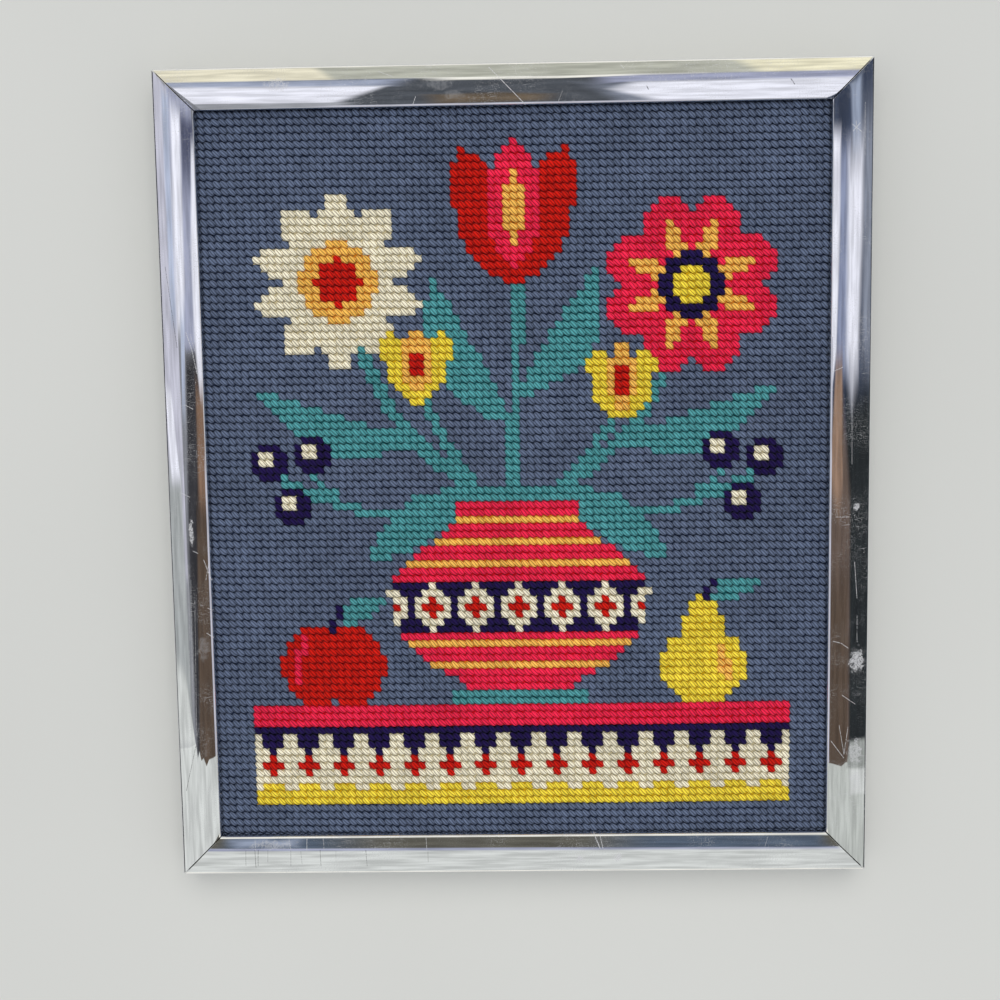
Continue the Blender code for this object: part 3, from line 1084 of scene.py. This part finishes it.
LEFT_CARDS = (
    # tone, soft, corners
    ("smoke", (0.5, 0.1), ((150.5, 0), (133, 14), (-132.5, 12.8), (-146.5, 0), (-6, 0))),
    ("bluish", (4, 0.4), ((140, 4.6), (133, 13.2), (46.5, 14), (46.5, 8.4), (68, 5.8), (104.5, 5.6))),
    ("lilac", (8, 0.4), (
        (147, 0), (138, 5.2), (104.5, 5.6), (68, 5.8), (29.5, 6), (-34, 6), (-34.5, 0), (64.5, 0),
    )),
    ("icy", (10, 1.2), ((136, 3.4), (136, 5.6), (56, 5.4), (56, 3.6))),
    ("dusk", (26, 2.6), ((135, 8.8), (132, 14), (104, 14), (104, 9.6))),
    ("snow", (14, 1.4), ((129.5, 6.4), (129, 9.4), (70.5, 8.8), (54.5, 8), (55, 6), (99, 5.8))),
    ("icy", (22, 0.7), ((58, 7), (58, 8.4), (27.5, 7.4), (27.5, 6.4))),
    ("coal", (12, 1.3), ((44.5, 8.4), (47, 12.6), (4.5, 14), (-114.5, 14), (-114.5, 7), (-27, 6.6))),
    ("snow", (12, 1.0), ((116, 12.8), (116, 14), (50.5, 14), (4.5, 14), (50.5, 11.6), (81.5, 11.6))),
    ("copper", (16, 1.3), ((33.5, 11.4), (32, 14), (-6, 14), (-13, 12.8), (-7.5, 10.8))),
    ("umber", (22, 1.6), ((-11, 10), (-7.5, 14), (-114.5, 14), (-114.5, 7.4))),
    ("lilac", (16, 0.2), ((6, 13.3), (-110, 13.3), (-110, 14), (6, 14))),
    ("pewter", (20, 1.4), ((5, 0.1), (5, 5), (-85, 5.6), (-85, 0))),
    ("snow", (9, 0.9), ((35, 0), (32, 2.6), (2, 4.6), (2, 1.6))),
    ("pearl", (14, 1.4), ((-63, 0), (-69, 3.8), (-96.5, 6.6), (-97, 0))),
    ("mist", (1.0, 0.6), (
        (-95.5, 0), (-95, 4.2), (-93.5, 6.4), (-99, 7), (-96.5, 7.6), (-100, 8.2), (-99, 9), (-102, 10),
        (-99.5, 11), (-99, 12.4), (-97, 14), (-130, 14), (-146, 0),
    )),
)
RIGHT_CARDS = (
    # tone, soft, corners
    ("night", (0.5, 0.1), ((-146, 0), (-128.5, 14), (1.5, 14), (130.5, 14), (146.5, 0))),
    ("pitch", (26, 1.6), ((-28, 8.8), (-33, 0), (113, 0), (113, 8))),
    ("ash", (16, 1.3), ((-113, 12), (-113, 8.2), (-36, 7.8), (-36, 12.2))),
    ("frost", (34, 2.0), ((-126, 0), (-38, 0), (-44, 3.4), (-122, 3.4))),
    ("blotch", (12, 2.4), ((-139, 8.2), (-138, 4.6), (-110, 4.2), (-110, 7))),
    ("snow", (30, 2.4), ((-106.5, 8.6), (-112.5, 3.8), (-84, 3.8), (-40, 4.8), (-29.5, 6.6), (-43.5, 8.6))),
    ("rust", (26, 1.6), ((-17.5, 14), (-31.5, 10.2), (8.5, 7), (116.5, 6.4), (116.5, 14))),
    ("umber", (26, 1.6), ((38.5, 14), (38.5, 7.8), (116.5, 6.8), (116.5, 14))),
    ("tan", (18, 0.9), ((-39.5, 12.2), (-39.5, 10.2), (1.5, 9.6), (12.5, 11), (1.5, 14), (-19.5, 13))),
    ("snow", (12, 1.0), ((-117, 14), (-116.5, 11.4), (-81, 11.4), (-43.5, 12.2), (-24.5, 14), (-50.5, 14))),
    ("lilac", (0.5, 0.2), ((-48, 13.3), (112, 13.3), (112, 14), (-48, 14))),
    ("drab", (0.5, 0.4), ((102.5, 14), (104, 9), (102.5, 7.4), (104.5, 0), (146.5, 0), (128.5, 14))),
    ("haze", (2.5, 1.0), ((104.5, 7.2), (95, 6), (94, 0.2), (106, 0))),
    ("pearl", (2, 1.0), ((105, 6.2), (105, 0.1), (114, 0), (114.5, 5.8))),
)
BOTTOM_CARDS = (
    # tone, soft, corners
    ("mist", (0.5, 0.1), ((128, 0), (108.5, 14), (-108, 14), (-126.5, 0))),
    ("lavender", (8, 1.6), ((118, 10), (-115, 9.2), (-115, 8.2), (118, 8.8))),
    ("moss", (0.5, 0.6), ((114.5, 14), (-114, 13), (-116.5, 9), (116.5, 9.8))),
    ("tide", (34, 0.6), ((120, 14), (64, 14), (64, 9.6), (120, 9.8))),
    ("tide", (34, 0.6), ((-35, 13.2), (-120.5, 13), (-120.5, 8.8), (-35, 9.2))),
    ("blotch", (16, 2.6), ((105.5, 12.4), (94, 12.6), (95.5, 10.4), (102, 10.2))),
    ("blotch", (14, 2.6), ((90.5, 12.2), (81.5, 12.6), (83, 10.6), (89, 10.4))),
    ("glare", (0.5, 0.2), ((109, 13.3), (-109, 13.3), (-109, 14), (109, 14))),
)
CARDS = {"top": TOP_CARDS, "left": LEFT_CARDS, "right": RIGHT_CARDS, "bottom": BOTTOM_CARDS}
CARD_HEIGHT = 0.0179
CARD_STEP = 0.00002
CARD_EDGE = 2.0
PAST_MITRE = 0.1
CARD_STREAKS = (0.045, 0.8, 0)
STREAK_TONES = (0.78, 1.16)
METAL_GLOSS = 0.86


def face_at(inward):
    """Height and tilt of a rail's face at a distance from its outer wall."""
    inward = min(max(inward, OUTER_RADIUS), FACE_WIDTH - LIP_RADIUS / 2)
    if inward < BAND_REACH:
        centre, radius = BAND, BAND_RADIUS
    elif inward < CROWN[0] - CROWN_RADIUS * sin(LIP_TILT):
        centre, radius = CROWN, CROWN_RADIUS
    else:
        centre, radius = LIP, LIP_RADIUS
    tilt = asin((centre[0] - inward) / radius)
    return centre[1] + radius * cos(tilt), tilt


def mirrored(side, along, inward, height):
    """Where a level plane holds what the camera sees mirrored at a place on a rail, up to its mitres.

    Outside of the face the plane just goes on outwards, to be mirrored in the round of the outer edge.
    """
    length, out, turn = SIDES[side]
    furthest = (length / 2 - inward) * 1000 + PAST_MITRE
    along = min(max(along, -furthest), furthest) / 1000
    up, tilt = face_at(inward)
    round_middle = Matrix.Rotation(turn, 3, "Z")
    spot = round_middle @ Vector((along, out - max(inward, OUTER_RADIUS), up))
    normal = round_middle @ Vector((0, sin(tilt), cos(tilt)))
    view = (Vector(CAMERA_PLACE) - spot).normalized()
    ray = 2 * normal.dot(view) * normal - view
    beyond = round_middle @ Vector((0, min(0, inward), 0))
    return spot + ray * ((height - spot.z) / ray.z) - beyond


def stepped(corners):
    """An outline with points along its edges, no further apart than a card's edge step."""
    points = []
    for start, end in zip(corners, corners[1:] + corners[:1]):
        steps = max(1, round(dist(start, end) / CARD_EDGE))
        for i in range(steps):
            points.append([a + (b - a) * i / steps for a, b in zip(start, end)])
    return points


def spread(outline, soft):
    """An outline drawn in or out about its middle by half of its rim's fade, as two outlines."""
    reach = [(max(axis) - min(axis)) / 2 for axis in zip(*outline)]
    middle = [(max(axis) + min(axis)) / 2 for axis in zip(*outline)]
    outlines = []
    for way in (-0.5, 0.5):
        scale = [max(0.05, 1 + way * fade / size) for fade, size in zip(soft, reach)]
        outlines.append([[m + (p - m) * s for p, m, s in zip(point, middle, scale)] for point in outline])
    return outlines


def all_cards():
    """Side, tone, soft and corners of each card, the highest first."""
    for side, tone, half, rim in CARD_GROUNDS:
        yield side, tone, GROUND_SOFT, ((-half, -14), (half, -14), (half, rim), (-half, rim))
    for side, rows in CARDS.items():
        for tone, soft, corners in rows:
            yield side, tone, soft, corners


def card_material(tone):
    material, tree, shader = new_material("mirrored_" + tone)
    tree.nodes.remove(shader)
    place = node(tree, "Attribute", attribute_name="place").outputs["Vector"]
    streaks = noise(vector_calc("MULTIPLY", place, CARD_STREAKS), 1.0, detail=4.0)
    shade = remap(streaks, 0.3, 0.7, *(streak / METAL_GLOSS for streak in STREAK_TONES))
    glow = node(tree, "Emission", {"Color": tinted(linear(TONES[tone]), shade), "Strength": 1})
    clear = node(tree, "BsdfTransparent")
    cover = node(tree, "Attribute", attribute_name="cover").outputs["Fac"]
    inputs = {"Fac": remap(cover, 0, 1, 0, 1), 1: clear.outputs["BSDF"], 2: glow.outputs["Emission"]}
    mixed = node(tree, "MixShader", inputs).outputs["Shader"]
    fill(tree.nodes["Material Output"], {"Surface": mixed})
    material.cycles.emission_sampling = "NONE"
    return material


def make_cards():
    mesh = bpy.data.meshes.new("mirrored_room")
    points, faces, tones, covers, places = [], [], [], [], []
    names = list(TONES)
    for i, (side, tone, soft, corners) in enumerate(all_cards()):
        inner, outer = spread(stepped(corners), soft)
        count = len(inner)
        first = len(points)
        for along, inward in inner + outer:
            points.append(mirrored(side, along, inward / 1000, CARD_HEIGHT - i * CARD_STEP))
            places += (along, inward, 0)
        covers += [1.0] * count + [0.0] * count
        faces.append(range(first, first + count))
        for j in range(count):
            k = (j + 1) % count
            faces.append((first + j, first + count + j, first + count + k, first + k))
        tones += [names.index(tone)] * (count + 1)
    mesh.from_pydata(points, [], faces)
    mesh.polygons.foreach_set("material_index", tones)
    mesh.attributes.new("cover", "FLOAT", "POINT").data.foreach_set("value", covers)
    mesh.attributes.new("place", "FLOAT_VECTOR", "POINT").data.foreach_set("vector", places)
    for tone in names:
        mesh.materials.append(card_material(tone))
    cards = new_object("mirrored_room", mesh)
    for seen_by in ("camera", "diffuse", "transmission", "volume_scatter", "shadow"):
        setattr(cards, "visible_" + seen_by, False)


# Stage

FLOOR_COLOUR = (223, 224, 219)
FLOOR_REACH = 3.0
FLOOR_DROP = -0.0001
WORLD_COLOUR = (0.93, 0.95, 1.0, 1)
WORLD_STRENGTH = 0.62
# A broad soft sun. Angles are in degrees, and its azimuth is the side that it shines from, from +X
SUN_ELEVATION = 58
SUN_AZIMUTH = 86
SUN_SPREAD = 45
SUN_STRENGTH = 1.14
SUN_COLOUR = (1.0, 0.97, 0.92)


def make_camera():
    data = bpy.data.cameras.new("camera")
    data.lens = FOCAL_LENGTH
    data.sensor_width = SENSOR
    data.clip_start = 0.01
    camera = new_object("camera", data)
    camera.location = CAMERA_PLACE
    camera.rotation_euler = [radians(turn) for turn in CAMERA_TURN]
    SCENE.camera = camera


def make_floor():
    material, tree, shader = new_material("pale_floor")
    cloud = noise(node(tree, "TexCoord").outputs["Object"], 3.0)
    tone = remap(cloud, 0.3, 0.7, 0.97, 1.02)
    fill(shader, {"Base Color": tinted(linear(FLOOR_COLOUR), tone), "Roughness": 0.7})
    mesh = bpy.data.meshes.new("floor")
    sides = ((-1, -1), (1, -1), (1, 1), (-1, 1))
    corners = [(x * FLOOR_REACH, y * FLOOR_REACH, FLOOR_DROP) for x, y in sides]
    mesh.from_pydata(corners, [], [(0, 1, 2, 3)])
    mesh.materials.append(material)
    new_object("floor", mesh)


def make_sun():
    data = bpy.data.lights.new("key", "SUN")
    data.angle = radians(SUN_SPREAD)
    data.energy = SUN_STRENGTH
    data.color = SUN_COLOUR
    sun = new_object("key", data)
    lift, side = radians(SUN_ELEVATION), radians(SUN_AZIMUTH)
    shine = Vector((cos(lift) * cos(side), cos(lift) * sin(side), sin(lift)))
    sun.rotation_euler = shine.to_track_quat("Z", "Y").to_euler()
    sun.visible_glossy = False


def make_world():
    world = bpy.data.worlds.new("soft_room")
    world.use_nodes = True
    background = world.node_tree.nodes["Background"]
    background.inputs["Color"].default_value = WORLD_COLOUR
    background.inputs["Strength"].default_value = WORLD_STRENGTH
    SCENE.world = world


def make_stage():
    make_camera()
    make_floor()
    make_cards()
    make_world()
    make_sun()
    SCENE.view_settings.view_transform = "Standard"


make_stage()
make_frame()
chart = design()
wool = make_wool(chart)
canvas, canvas_size = make_canvas(chart)
